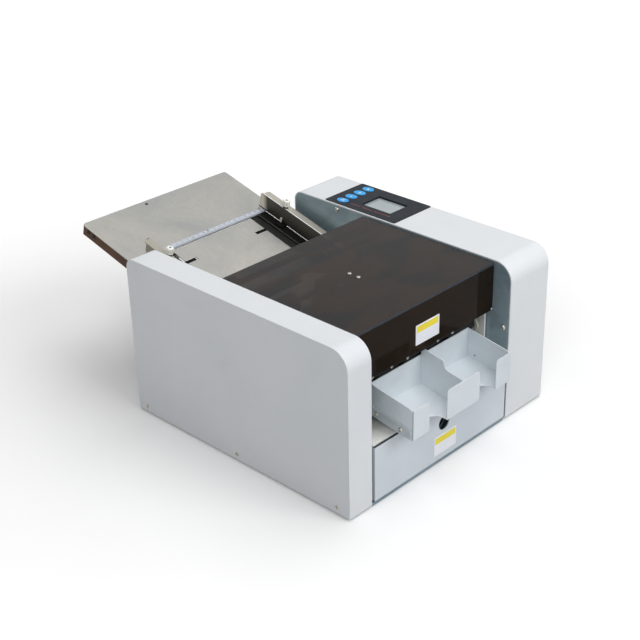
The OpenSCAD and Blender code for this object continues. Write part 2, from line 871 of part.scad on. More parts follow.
module table_side_rails() {
  y0 = slope_y(268);
  lip_w = 2.8;
  color("SaddleBrown") on_table() difference() {
    translate([table_cx, 0, 0]) for (side = [0, 1]) mirror([side, 0, 0]) union() {
      x = table_w / 2 - sheet_t - rail_t;
      block(x, x + rail_t, y0, 0, -rail_depth, -sheet_t);
      block(x - lip_w, x + rail_t, y0, -9, -sheet_t - 1, -sheet_t);
    }
    for (d = RAIL_SCREWS) translate([table_left - 1, slope_y(d), rail_screw_z]) rotate([0, 90, 0])
      cylinder(h = table_w + 2, r = small_screw_r);
  }
}

module ruler_strip() {
  color("LightSteelBlue") on_table()
    block(feed_x - 113, feed_x + 113, slope_y(ruler_front) + 0.5, slope_y(ruler_rear), 0, ruler_t);
}

// Black plate under the table opening: the guides stand on it, and the lift plate fills its middle
slot_half = (guide_in + guide_out) / 2 + stud_r + 0.3;

module guide_slot_plate() {
  y0 = slope_y(table_front);
  y1 = slope_y(ruler_front) + 8;
  z1 = -sheet_t;
  lug_y = slope_y(lift_rear) - 1;
  color("DimGray") on_table() difference() {
    union() {
      block(table_left + rail_t + 4.5, table_right - rail_t - 4.5, y0, y1, z1 - slot_plate_t, z1);
      for (x = [feed_x - 88, feed_x + 84])
        block(x, x + 4, lug_y - 6, lug_y + 6, lift_axis_z - 5, z1 - slot_plate_t);
    }
    block(feed_x - lift_w / 2 - 2, feed_x + lift_w / 2 + 2, y0 - 1, slope_y(lift_rear) + 4.5,
      z1 - 2, z1 + 1);
    for (side = [-1, 1])
      translate([feed_x + side * (clamp_x - guide_in / 2 + guide_out / 2), slope_y(clamp_d), 0])
        block(-slot_half, slot_half, -stud_r - 0.4, stud_r + 0.4, z1 - 4, z1 + 1);
    translate([0, lug_y, lift_axis_z]) rotate([0, 90, 0])
      translate([0, 0, feed_x - 100]) cylinder(h = 200, r = 2.5 + running);
  }
}

// Side guide: upright sheet that passes over the ruler, with an outward flange on top, an inward foot
// in front of the ruler, and a clip with its pin on the foot
module side_guide(side) {
  y0 = slope_y(table_front) + 2;
  y1 = slope_y(guide_rear);
  step = slope_y(ruler_front);
  r = 5;
  over_ruler = ruler_t + 0.3;
  face = guide_gap / 2;
  mirrored = side < 0 ? 1 : 0;
  color("LightGray") on_table() translate([feed_x, 0, 0]) mirror([mirrored, 0, 0]) difference() {
    union() {
      translate([face, 0, 0]) rotate([90, 0, 90]) linear_extrude(guide_t) union() {
        translate([y0, 0.8]) square([step - 0.5 - y0, over_ruler]);
        translate([y0, over_ruler]) square([y1 - y0, guide_h - over_ruler - r]);
        translate([y0, over_ruler]) square([y1 - y0 - r, guide_h - over_ruler]);
        translate([y1 - r, guide_h - r]) circle(r = r);
      }
      translate([0, 0, guide_h - guide_t]) linear_extrude(guide_t) union() {
        translate([face, y0]) square([flange_w, y1 - r - y0 - 4]);
        translate([face, y0]) square([flange_w - 4, y1 - r - y0]);
        translate([face + flange_w - 4, y1 - r - 4]) circle(r = 4);
      }
      block(face - foot_w, face + guide_t, y0, step - 0.5, 0.3, 1.3);
      block(face - 12, face - 0.5, slope_y(389), slope_y(402), 1.3, 3.6);
      translate([face - 2.6, slope_y(400), 1.3]) cylinder(h = 8.5, r = 1.6);
    }
    translate([clamp_x, slope_y(clamp_d), guide_h - 3]) cylinder(h = 6, r = stud_r + running);
  }
}

clamp_x = guide_gap / 2 + guide_t + stud_r + 0.2;

module left_side_guide() {
  side_guide(-1);
}

module right_side_guide() {
  side_guide(1);
}

// Nylon knob on a threaded stud, with a dark collar above the flange and a clamp plate below the slot
module guide_knob(side) {
  color("Ivory") on_table() translate([feed_x + side * clamp_x, slope_y(clamp_d), 0]) union() {
    difference() {
      translate([0, 0, guide_h + 2.8]) rotate_extrude() polygon([
        [0, 0], [4.6, 0], [5.25, 0.8], [5.25, 7.5], [4.9, 9], [3.8, 10], [0, 10]
      ]);
      for (k = [0 : 7]) rotate([0, 0, k * 45]) translate([6.1, 0, guide_h + 4.3])
        cylinder(h = 12, r = 1.2);
      translate([0, 0, guide_h + 12.1]) cylinder(h = 3, r = 1.6);
    }
    translate([0, 0, guide_h + 0.2]) cylinder(h = 2.8, r = 4);
    translate([0, 0, -4.8]) cylinder(h = guide_h + 7, r = stud_r);
    translate([0, 0, -7.6]) cylinder(h = 3, r = 5);
  }
}

module left_guide_knob() {
  guide_knob(-1);
}

module right_guide_knob() {
  guide_knob(1);
}

// Stainless plate that lifts the stack to the pickup roller, hinged near the ruler
lift_axis_z = -8;

module lift_plate() {
  y0 = slope_y(lift_front);
  y1 = slope_y(lift_rear);
  notch_y = slope_y(clamp_d);
  notch_x = lift_w / 2 - 9;
  pin_y = slope_y(lift_rear) - 1;
  color("LightGray") on_table() union() {
    difference() {
      block(feed_x - lift_w / 2, feed_x + lift_w / 2, y0, y1, -sheet_t, 0);
      for (x = [feed_x - notch_x, feed_x + notch_x])
        block(x - 10, x + 10, notch_y - 2.9, notch_y + 2.9, -sheet_t - 1, 1);
    }
    for (x = [feed_x - 70, feed_x + 62])
      block(x, x + 8, pin_y - 5, pin_y + 2.6, lift_axis_z - 4, -sheet_t);
    translate([feed_x - 91, pin_y, lift_axis_z]) rotate([0, 90, 0]) cylinder(h = 182, r = 2.5);
    for (x = SPRING_X) translate([x, slope_y(spring_d), -sheet_t - 2]) cylinder(h = 2, r = 3.6);
  }
}

SPRING_X = [feed_x - 45, feed_x + 45];
spring_d = 264;
spring_beam_z = 98;
spring_top_z = 144.2;

module lift_springs() {
  color("Silver") for (x = SPRING_X) translate([x, back(spring_d), spring_beam_z]) difference() {
    cylinder(h = spring_top_z - spring_beam_z, r = 6);
    translate([0, 0, -1]) cylinder(h = 60, r = 4.6);
  }
}

// ---- paper path ----

plate_t = 1.8;

module paper_guide_plates() {
  z = path_z - 0.8 - plate_t;
  color("WhiteSmoke") {
    for (d = [[174, 200], [112, 131]]) union() {
      block(frame_left, frame_right, back(d[0]), back(d[1]), z, z + plate_t);
      block(frame_left, frame_right, back(d[0] + 4), back(d[0] + 4 + plate_t), z - 9, z);
    }
    along_x(frame_left, frame_right) polygon([
      [back(223.5), z + plate_t], [back(223.5), 130], [back(238.5), 130], [back(238.5), 138.4],
      [back(227), z + plate_t]
    ]);
  }
}

ROLLER_X = [-68, -20, 20, 68];

// Sleeves of a roller at offsets from the paper's centre
module sleeves(s, r, offsets, w) {
  for (x = offsets) bar_x(feed_x + x - w / 2, feed_x + x + w / 2, s[0], s[1], r);
}

shaft_left = frame_left - frame_t;
shaft_right = frame_right + frame_t;
lane_end = LANES[2] + lane_w + 3;

module pickup_roller() {
  color("DimGray") union() {
    bar_x(shaft_left, LANES[0] + lane_w + 2, PICKUP[0], PICKUP[1], PICKUP[2]);
    sleeves(PICKUP, pickup_r, [-38, 38], 22);
    pulley(LANES[0], PICKUP, pulley_r);
  }
}

module lower_feed_roller() {
  color("DimGray") union() {
    bar_x(gear_x - 2, LANES[1] + lane_w + 2, FEED_LOW[0], FEED_LOW[1], FEED_LOW[2]);
    sleeves(FEED_LOW, feed_roller_r, [-84, 0, 84], 30);
    gear(FEED_LOW, 12, 90);
    pulley(LANES[1], FEED_LOW, feed_pulley_r);
  }
}

module upper_feed_roller() {
  color("DimGray") union() {
    bar_x(gear_x - 2, LANES[0] + lane_w + 0.8, FEED_TOP[0], FEED_TOP[1], FEED_TOP[2]);
    pulley(LANES[0], FEED_TOP, top_pulley_r);
    sleeves(FEED_TOP, feed_roller_r, [-84, 0, 84], 30);
    gear(FEED_TOP, 12, -75);
  }
}

// Slitting lines, and on which side of each line the card lies
CUTS = [[-gutter / 2 - card_w, 1], [-gutter / 2, -1], [gutter / 2, 1], [gutter / 2 + card_w, -1]];
disc_t = 2.5;
edge_t = 1.6;
side_gap = 0.12;

// Disc from distance a to b beside a slitting line, on the side given
module disc(s, cut, side, a, b) {
  x = feed_x + cut;
  bar_x(side > 0 ? x + a : x - b, side > 0 ? x + b : x - a, s[0], s[1], slitter_r);
}

module lower_slitter() {
  color("Silver") union() {
    bar_x(gear_x - 2, lane_end, SLIT_LOW[0], SLIT_LOW[1], SLIT_LOW[2]);
    for (c = CUTS) {
      disc(SLIT_LOW, c[0], c[1], side_gap, side_gap + disc_t);
      bar_x(feed_x + c[0] + (c[1] > 0 ? disc_t : -disc_t - 8),
        feed_x + c[0] + (c[1] > 0 ? disc_t + 8 : -disc_t), SLIT_LOW[0], SLIT_LOW[1], 9);
    }
    gear(SLIT_LOW, 20, 90);
    pulley(LANES[0], SLIT_LOW, pulley_r);
    pulley(LANES[1], SLIT_LOW, feed_drive_r);
    pulley(LANES[2], SLIT_LOW, pulley_r);
  }
}

module upper_slitter() {
  color("Silver") union() {
    bar_x(gear_x - 2, shaft_right, SLIT_TOP[0], SLIT_TOP[1], SLIT_TOP[2]);
    for (c = CUTS) disc(SLIT_TOP, c[0], -c[1], side_gap, side_gap + edge_t);
    sleeves(SLIT_TOP, 9, [-48, 48], 60);
    gear(SLIT_TOP, 20, -81);
  }
}

module lower_delivery_roller() {
  color("DimGray") union() {
    bar_x(shaft_left, lane_end, OUT_LOW[0], OUT_LOW[1], OUT_LOW[2]);
    sleeves(OUT_LOW, delivery_low_r, ROLLER_X, 20);
    pulley(LANES[2], OUT_LOW, pulley_r);
  }
}

module upper_delivery_roller() {
  color("DimGray") union() {
    bar_x(shaft_left, shaft_right, OUT_TOP[0], OUT_TOP[1], OUT_TOP[2]);
    sleeves(OUT_TOP, delivery_top_r, ROLLER_X, 20);
  }
}

// ---- cross cutter ----

// The crank pin stands crank_lift degrees above level at rest, in front of the shaft
crank_lift = 25;
pin_d = CRANK[0] - crank_r * cos(crank_lift);
pin_z = CRANK[1] + crank_r * sin(crank_lift);
carriage_left = frame_left + 18;
carriage_right = frame_right - 17.5;
carriage_d = 80;
carriage_t = 6;
blade_t = 4;
shear_gap = 0.2;
POST_X = [carriage_left + 9, carriage_right - 9];
post_d = 74;
post_r = 4;
fork_t = 4;

module lower_blade() {
  d = carriage_d + carriage_t + blade_t + shear_gap;
  color("Silver") along_x(frame_left + 12, frame_right - 12) polygon([
    [back(d), 122], [back(d + 5), 122], [back(d + 5), path_z - 1.2], [back(d), path_z - 0.2]
  ]);
}

module upper_blade() {
  d = carriage_d + carriage_t;
  color("Silver") along_x(carriage_left + 3, carriage_right - 3) polygon([
    [back(d), 152.2], [back(d + blade_t), 150.5], [back(d + blade_t), 184], [back(d), 184]
  ]);
}

module blade_carriage() {
  fork_end = pin_d + 2.6;
  color("LightSlateGray") difference() {
    union() {
      block(carriage_left, carriage_right, back(carriage_d), back(carriage_d + carriage_t), 165, 203);
      for (x = [carriage_left - fork_t, carriage_right])
        block(x, x + fork_t, back(carriage_d), back(fork_end), pin_z - 12, 203);
      for (x = POST_X) block(x - 9, x + 9, back(post_d - 7), back(carriage_d), 168, 198);
    }
    for (x = [carriage_left - fork_t, carriage_right])
      block(x - 1, x + fork_t + 1, back(pin_d - 4.4), back(fork_end + 1), pin_z - 3.25, pin_z + 3.25);
    for (x = POST_X) translate([x, back(post_d), 160]) cylinder(h = 50, r = post_r + running);
    block(carriage_left + 50, carriage_right - 50, back(carriage_d - 1), back(carriage_d + 10), 189, 198);
  }
}

module blade_guide_posts() {
  color("Silver") for (x = POST_X) translate([x, back(post_d), 150]) cylinder(h = 63, r = post_r);
}

module crank(x0, x1, pin_x0, pin_x1) {
  bar_x(x0, x1, CRANK[0], CRANK[1], 14);
  bar_x(pin_x0, pin_x1, pin_d, pin_z, 3);
}

module cutter_shaft() {
  left = carriage_left - fork_t;
  right = carriage_right + fork_t;
  color("Silver") union() {
    bar_x(shaft_left, bracket_x + 12, CRANK[0], CRANK[1], CRANK[2]);
    crank(left - 5.5, left - 0.5, left - 0.5, left + fork_t);
    crank(right + 0.5, right + 5.5, right - fork_t, right + 0.5);
    bar_x(bay_right + 14, bracket_x - 2, CRANK[0], CRANK[1], 10);
  }
}

module shaft_bushes() {
  color("Ivory") for (s = BUSHES, side = [-1, 1]) {
    x0 = side < 0 ? shaft_left : frame_right;
    difference() {
      union() {
        bar_x(x0, x0 + frame_t, s[0], s[1], s[3]);
        bar_x(side < 0 ? frame_left : frame_right - 2, side < 0 ? frame_left + 2 : frame_right,
          s[0], s[1], s[3] + 1.4);
      }
      bar_x(x0 - 3, x0 + frame_t + 3, s[0], s[1], s[2] + running);
    }
  }
}

// Beams and rods that join the two frame plates
module cross_beams() {
  top_beam_z = 208;
  color("WhiteSmoke") {
    difference() {
      block(frame_left, frame_right, back(66), back(98), top_beam_z, top_beam_z + 5);
      for (x = POST_X) translate([x, back(post_d), 200]) cylinder(h = 20, r = post_r);
    }
    difference() {
      block(frame_left, frame_right, back(post_d - 6), back(post_d + 5.5), 150, 157);
      for (x = POST_X) translate([x, back(post_d), 140]) cylinder(h = 20, r = post_r);
    }
    block(frame_left, frame_right, back(carriage_d + 15.2), back(carriage_d + 27), 116, 140);
    block(frame_left, frame_right, back(exit_bar_d + 5.8), back(exit_bar_d + 9.5), 156, 172);
    block(frame_left, exit_bar_right, back(exit_bar_d + 2.4), back(exit_bar_d + 5.8), 158, 166);
    block(frame_left, frame_right, back(spring_d - 8), back(spring_d + 12),
      spring_beam_z - 4, spring_beam_z);
    bridge_plate();
  }
  color("Silver") bar_x(shaft_left, shaft_right, HINGE[0], HINGE[1], HINGE[2]);
}

// Light plate that carries the paper sensor over the feed rollers
module bridge_plate() {
  z = 205;
  difference() {
    union() {
      block(frame_left, feed_x + 1, back(208), back(236), z, z + 2);
      block(feed_x, frame_right, back(226), back(236), z, z + 2);
      block(feed_x + 27, feed_x + 41, back(204), back(230), z - 8, z + 3);
    }
    translate([feed_x - 26, back(206), z - 1]) cylinder(h = 4, r = 17);
  }
}

// ---- drive ----

module motor_bracket() {
  x1 = bracket_x + bracket_t;
  color("LightSlateGray") difference() {
    union() {
      block(bracket_x, x1, back(66), back(186), base_top, 221);
      block(x1, x1 + 18, back(66), back(186), base_top, base_top + bracket_t);
    }
    bar_x(bracket_x - 1, x1 + 1, MOTOR[0], MOTOR[1], 12);
    bar_x(bracket_x - 1, x1 + 1, CRANK[0], CRANK[1], 9);
    bar_x(bracket_x - 1, x1 + 1, 110, 110, 15);
  }
}

module feed_motor() {
  x0 = bracket_x + bracket_t;
  half = 28;
  color("DimGray") difference() {
    union() {
      for (x = [[x0, x0 + 6], [x0 + 38, x0 + 45]])
        block(x[0], x[1], back(MOTOR[0] - half), back(MOTOR[0] + half),
          MOTOR[1] - half, MOTOR[1] + half);
      bar_x(x0 + 6, x0 + 38, MOTOR[0], MOTOR[1], half - 1);
    }
    bar_x(x0 - 1, x0 + 14, MOTOR[0], MOTOR[1], MOTOR[2] + running);
  }
}

module cutter_motor() {
  x0 = bracket_x + bracket_t;
  color("DimGray") difference() {
    union() {
      bar_x(x0, x0 + 20, CRANK[0], CRANK[1], 26);
      bar_x(x0 + 20, x0 + 44, CRANK[0], CRANK[1], 22);
      bar_x(x0 + 44, x0 + 46, CRANK[0], CRANK[1], 8);
    }
    bar_x(x0 - 1, x0 + 12, CRANK[0], CRANK[1], CRANK[2] + running);
  }
}

module motor_pulley() {
  color("Silver") union() {
    pulley(LANES[0], MOTOR, pulley_r);
    bar_x(LANES[0] - 2, bracket_x + bracket_t + 12, MOTOR[0], MOTOR[1], MOTOR[2]);
  }
}

module drive_belts() {
  color("DimGray") {
    belt(LANES[0], MOTOR, pulley_r, SLIT_LOW, pulley_r);
    belt(LANES[0], FEED_TOP, top_pulley_r, PICKUP, pulley_r);
    belt(LANES[1], SLIT_LOW, feed_drive_r, FEED_LOW, feed_pulley_r);
    belt(LANES[2], OUT_LOW, pulley_r, SLIT_LOW, pulley_r);
  }
}

base_plate();
rubber_feet();
left_frame_plate();
right_frame_plate();
left_side_cover();
right_side_cover();
left_inner_panel();
right_inner_panel();
cover_screws();
rear_panel();
power_inlet();
power_switch();
drawer_bay_top();
drawer_front();
drawer_bin();
card_tray();
tray_divider();
tray_brackets();
bracket_screws();
exit_bar();
smoked_top();
smoked_front();
cover_fittings();
control_bezel();
lcd_display();
menu_key();
minus_key();
plus_key();
start_key();
circuit_boards();
feed_table();
table_side_rails();
ruler_strip();
guide_slot_plate();
left_side_guide();
right_side_guide();
left_guide_knob();
right_guide_knob();
lift_plate();
lift_springs();
paper_guide_plates();
pickup_roller();
lower_feed_roller();
upper_feed_roller();
lower_slitter();
upper_slitter();
lower_delivery_roller();
upper_delivery_roller();
lower_blade();
upper_blade();
blade_carriage();
blade_guide_posts();
cutter_shaft();
shaft_bushes();
cross_beams();
motor_bracket();
feed_motor();
cutter_motor();
motor_pulley();
drive_belts();
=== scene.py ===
import math

import bmesh
import bpy
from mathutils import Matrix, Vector


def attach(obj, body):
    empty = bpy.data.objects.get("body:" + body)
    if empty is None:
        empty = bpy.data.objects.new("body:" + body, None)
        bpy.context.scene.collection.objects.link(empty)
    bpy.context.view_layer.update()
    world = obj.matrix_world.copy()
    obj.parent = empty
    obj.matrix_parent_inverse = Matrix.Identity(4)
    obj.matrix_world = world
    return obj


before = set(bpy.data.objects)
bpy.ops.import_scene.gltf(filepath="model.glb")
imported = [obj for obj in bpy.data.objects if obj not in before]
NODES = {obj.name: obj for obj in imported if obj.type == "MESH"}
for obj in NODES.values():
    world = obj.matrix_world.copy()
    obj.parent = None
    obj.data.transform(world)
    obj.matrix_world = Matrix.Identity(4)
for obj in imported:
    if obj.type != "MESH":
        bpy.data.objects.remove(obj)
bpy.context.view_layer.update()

MM = 0.001
# Values of the CAD source in millimetres. D is a distance back from the front faces.
FRONT_Y = -257.32937
LEFT_X = -197.0
TABLE_REAR_D = 542.0
TABLE_REAR_Z = 222.0
TABLE_ANGLE = math.radians(15)
FEED_X = -15.4
RULER_X = (FEED_X - 113.0, FEED_X + 113.0)
RULER_D = (433.5, 441.5)
RULER_TOP = 1.6
# Side guides: inner face from the paper's centre, foot, height, and where each knob clamps
GUIDE_FACE = 106.75
GUIDE_FOOT_W = 16.5
GUIDE_H = 26.3
COLLAR_H = 2.8
SOCKET_UP = GUIDE_H + 12.1
CLAMP_D = 400.5
CLAMP_X = 109.95
KEY_X = (130.6, 148.4, 166.5, 184.7)
KEY_D = 312.6
KEY_TOP = 232.3
BEZEL_TOP = 231.8
KEY_BOARD_TOP_Z = 223.7
POWER_BOARD_TOP_Z = 19.0
SMOKED_FRONT_D = 27.0
SMOKED_RIGHT = 111.3
SMOKED_BOTTOM_Z = 160.4
SMOKED_TOP_UNDER_Z = 225.5
TRAY_X = (-117.65, 75.35)
TRAY_OVERHANG = 32.0
DRAWER_TOP = 83.0
# Screws further back than this sit in the table's rails
RAIL_SCREWS_FROM_D = 430.0


def place(x, d, z):
    """A point in metres from X, distance back from the front faces, and height, in millimetres."""
    return Vector((x, FRONT_Y + d, z)) * MM


def on_table(x, d, up):
    """A point in metres on the sloping table, up millimetres square to it."""
    run = (d - TABLE_REAR_D) / math.cos(TABLE_ANGLE)
    back = run * math.cos(TABLE_ANGLE) - up * math.sin(TABLE_ANGLE)
    rise = run * math.sin(TABLE_ANGLE) + up * math.cos(TABLE_ANGLE)
    return Vector((x, FRONT_Y + TABLE_REAR_D + back, TABLE_REAR_Z + rise)) * MM


# ---- materials ----


class Shader:
    """A node material under construction. Textures use object coordinates, in metres."""

    def __init__(self, material):
        self.material = material
        self.tree = material.node_tree
        self.principled = next(n for n in self.tree.nodes if n.type == "BSDF_PRINCIPLED")
        self.coords = self.tree.nodes.new("ShaderNodeTexCoord")

    def node(self, kind, inputs=None, **settings):
        made = self.tree.nodes.new(kind)
        for key, value in settings.items():
            setattr(made, key, value)
        for key, value in (inputs or {}).items():
            self.feed(made.inputs[key], value)
        return made

    def feed(self, socket, value):
        if isinstance(value, bpy.types.NodeSocket):
            self.tree.links.new(value, socket)
        else:
            socket.default_value = value

    def set(self, **sockets):
        for key, value in sockets.items():
            self.feed(self.principled.inputs[key.replace("_", " ")], value)

    def noise(self, scale, stretch=(1, 1, 1), detail=3.0, roughness=0.5, distortion=0.0):
        at = self.node(
            "ShaderNodeMapping", {"Vector": self.coords.outputs["Object"], "Scale": stretch}
        )
        return self.node(
            "ShaderNodeTexNoise",
            {
                "Vector": at.outputs[0],
                "Scale": scale,
                "Detail": detail,
                "Roughness": roughness,
                "Distortion": distortion,
            },
        ).outputs[0]

    def remap(self, value, low, high, to_low=0.0, to_high=1.0):
        return self.node(
            "ShaderNodeMapRange",
            {
                "Value": value,
                "From Min": low,
                "From Max": high,
                "To Min": to_low,
                "To Max": to_high,
            },
        ).outputs[0]

    def mix(self, share, a, b, how="MIX"):
        made = self.node("ShaderNodeMix", data_type="RGBA", blend_type=how)
        self.feed(made.inputs[0], share)
        self.feed(made.inputs[6], a)
        self.feed(made.inputs[7], b)
        return made.outputs[2]

    def math(self, how, a, b):
        return self.node("ShaderNodeMath", {0: a, 1: b}, operation=how).outputs[0]

    def position(self):
        """X, Y and Z of the shaded point on the piece at rest, in metres."""
        return self.node("ShaderNodeSeparateXYZ", {0: self.coords.outputs["Object"]}).outputs

    def above_table(self):
        """Height square to the sloping table, in metres."""
        _, y, z = self.position()
        rise = self.math("MULTIPLY", z, math.cos(TABLE_ANGLE))
        run = self.math("MULTIPLY", y, math.sin(TABLE_ANGLE))
        zero = on_table(0.0, TABLE_REAR_D, 0.0)
        base = zero.z * math.cos(TABLE_ANGLE) - zero.y * math.sin(TABLE_ANGLE)
        return self.math("SUBTRACT", self.math("SUBTRACT", rise, run), base)

    def within(self, value, low, high):
        """1 where a value lies between two limits in millimetres, 0 elsewhere."""
        over = self.math("GREATER_THAN", value, low * MM)
        under = self.math("LESS_THAN", value, high * MM)
        return self.math("MULTIPLY", over, under)

    def bevel(self, radius):
        return self.node("ShaderNodeBevel", {"Radius": radius * MM}, samples=4).outputs[0]

    def edges(self, rounded):
        """0 on flat faces, rising to 1 at a sharp edge, from the rounded normal."""
        flat = self.node("ShaderNodeNewGeometry").outputs["True Normal"]
        dot = self.node("ShaderNodeVectorMath", {0: rounded, 1: flat}, operation="DOT_PRODUCT")
        return self.remap(dot.outputs["Value"], 0.995, 0.86)

    def bumps(self, height, distance, strength, normal):
        return self.node(
            "ShaderNodeBump",
            {"Strength": strength, "Distance": distance * MM, "Height": height, "Normal": normal},
        ).outputs[0]


def new_material(name):
    material = bpy.data.materials.new(name)
    material.use_nodes = True
    return material


def rgb(red, green, blue):
    """Linear colour from screen values of 0 to 255."""
    return tuple(
        ((v / 255 + 0.055) / 1.055) ** 2.4 if v > 10.3 else v / 255 / 12.92
        for v in (red, green, blue)
    ) + (1.0,)


def painted(
    name, colour, shade, edge=rgb(236, 240, 243), grain=1500.0, dirt=0.0, rough=(0.42, 0.56),
    round_mm=0.7, specular=0.5,
):
    """Powder-coated sheet: slow colour drift, fine orange peel, and paler rounded edges that are
    partly wear and partly a painted highlight.
    """
    s = Shader(new_material(name))
    drift = s.remap(s.noise(7.0, detail=2.0), 0.35, 0.65)
    tone = s.mix(drift, colour, shade)
    fleck = s.remap(s.noise(grain, detail=2.0), 0.3, 0.7, 0.965, 1.02)
    flecks = s.node("ShaderNodeCombineColor", {0: fleck, 1: fleck, 2: fleck}).outputs[0]
    tone = s.mix(1.0, tone, flecks, "MULTIPLY")
    rounded = s.bevel(round_mm)
    # Paler rounded edges, broken up by noise: partly wear, partly a painted highlight.
    wear_and_highlight = s.remap(s.noise(60.0, detail=4.0), 0.3, 0.75, 0.15, 0.8)
    tone = s.mix(s.math("MULTIPLY", s.edges(rounded), wear_and_highlight), tone, edge)
    if dirt:
        smudge = s.remap(s.noise(23.0, detail=6.0, roughness=0.65), 0.52, 0.8, 0.0, dirt)
        tone = s.mix(smudge, tone, rgb(150, 152, 150))
    s.set(
        Base_Color=tone,
        Roughness=s.remap(s.noise(45.0, detail=4.0), 0.3, 0.7, *rough),
        Specular_IOR_Level=specular,
        Normal=s.bumps(s.noise(grain, detail=3.0), 0.05, 0.25, rounded),
    )
    return s.material


def metal(
    name, colour, shade, brush, scale, rough=(0.3, 0.42), round_mm=0.4, metallic=1.0, cloud=9.0
):
    """Bare or plated sheet metal: cloudy tone, fine brushing along one direction, and a painted
    highlight along rounded edges.
    """
    s = Shader(new_material(name))
    drift = s.remap(s.noise(cloud, detail=5.0, roughness=0.6, distortion=0.6), 0.33, 0.67)
    lines = s.noise(scale, stretch=brush, detail=4.0, roughness=0.6)
    tone = s.mix(drift, colour, shade)
    tone = s.mix(s.remap(lines, 0.3, 0.7, 0.0, 0.22), tone, rgb(120, 118, 114))
    rounded = s.bevel(round_mm)
    # Painted highlight: rounded edges lightened towards near white.
    tone = s.mix(s.math("MULTIPLY", s.edges(rounded), 0.55), tone, rgb(235, 236, 236))
    s.set(
        Base_Color=tone,
        Metallic=metallic,
        Roughness=s.remap(s.math("ADD", drift, lines), 0.7, 1.4, *rough),
        Normal=s.bumps(lines, 0.03, 0.12, rounded),
    )
    return s.material


def plastic(
    name, colour, shade, rough=(0.4, 0.5), grain=1200.0, round_mm=0.4, strength=0.3, edge=None,
    **extra,
):
    """Moulded plastic or rubber with a fine texture."""
    s = Shader(new_material(name))
    tone = s.mix(s.remap(s.noise(30.0, detail=3.0), 0.35, 0.65), colour, shade)
    rounded = s.bevel(round_mm)
    # Paler rounded edges: a painted highlight.
    if edge:
        tone = s.mix(s.math("MULTIPLY", s.edges(rounded), 0.6), tone, edge)
    s.set(
        Base_Color=tone,
        Roughness=s.remap(s.noise(90.0, detail=4.0), 0.3, 0.7, *rough),
        Normal=s.bumps(s.noise(grain, detail=2.0), 0.04, strength, rounded),
        **extra,
    )
    return s.material


def smoked(name, colour, shade, alpha, edge_colour, specular):
    """Smoked acrylic sheet: dark, glossy, partly clear, with paler polished edge faces at the top's
    front and a painted highlight along its rounded edges.
    """
    s = Shader(new_material(name))
    patches = s.noise(9.0, stretch=(1, 2.6, 1), detail=4.0, distortion=0.8)
    tone = s.mix(s.remap(patches, 0.38, 0.62), colour, shade)
    _, y, z = s.position()
    at_front = s.math("LESS_THAN", y, place(0.0, SMOKED_FRONT_D + 0.1, 0.0).y)
    in_top = s.math("GREATER_THAN", z, SMOKED_TOP_UNDER_Z * MM)
    tone = s.mix(s.math("MULTIPLY", at_front, in_top), tone, edge_colour)
    rounded = s.bevel(0.5)
    # Painted highlight along the rounded edges.
    tone = s.mix(s.math("MULTIPLY", s.edges(rounded), 0.85), tone, edge_colour)
    scuff = s.noise(55.0, stretch=(1, 9, 9), detail=6.0, roughness=0.7)
    s.set(
        Base_Color=tone,
        Roughness=s.remap(scuff, 0.45, 0.8, 0.05, 0.16),
        Alpha=alpha,
        IOR=1.49,
        Specular_IOR_Level=specular,
        Normal=s.bumps(s.noise(18.0, detail=1.0), 0.1, 0.03, rounded),
    )
    return s.material


def screw_finish(name):
    """Bright plated screws; those in the table's rails, behind the covers, are blackened."""
    s = Shader(new_material(name))
    rounded = s.bevel(0.25)
    ring = s.noise(700.0, detail=3.0)
    tone = s.mix(s.remap(ring, 0.3, 0.7), rgb(226, 223, 215), rgb(150, 146, 138))
    # Paler rounded edges: a painted highlight.
    tone = s.mix(s.math("MULTIPLY", s.edges(rounded), 0.5), tone, rgb(240, 240, 238))
    blackened = s.math("GREATER_THAN", s.position()[1], place(0.0, RAIL_SCREWS_FROM_D, 0.0).y)
    tone = s.mix(blackened, tone, rgb(48, 46, 44))
    s.set(
        Base_Color=tone,
        Metallic=0.9,
        Roughness=s.remap(ring, 0.3, 0.7, 0.14, 0.26),
        Normal=s.bumps(ring, 0.02, 0.2, rounded),
    )
    return s.material


def circuit_board_finish(name):
    """Green key board and power board with paler tracks, and dark components on them."""
    s = Shader(new_material(name))
    z = s.position()[2]
    above = s.math("GREATER_THAN", z, KEY_BOARD_TOP_Z * MM)
    low_board = s.math("LESS_THAN", z, POWER_BOARD_TOP_Z * MM)
    tracks = s.remap(s.noise(260.0, stretch=(1, 0.2, 1), detail=1.0), 0.49, 0.51, 0.0, 0.45)
    board = s.mix(tracks, rgb(20, 92, 62), rgb(70, 150, 110))
    tone = s.mix(low_board, s.mix(above, board, rgb(36, 37, 40)), board)
    s.set(
        Base_Color=tone,
        Roughness=s.remap(s.noise(120.0), 0.3, 0.7, 0.35, 0.5),
        Normal=s.bumps(s.noise(300.0, detail=2.0), 0.05, 0.3, s.bevel(0.2)),
    )
    return s.material


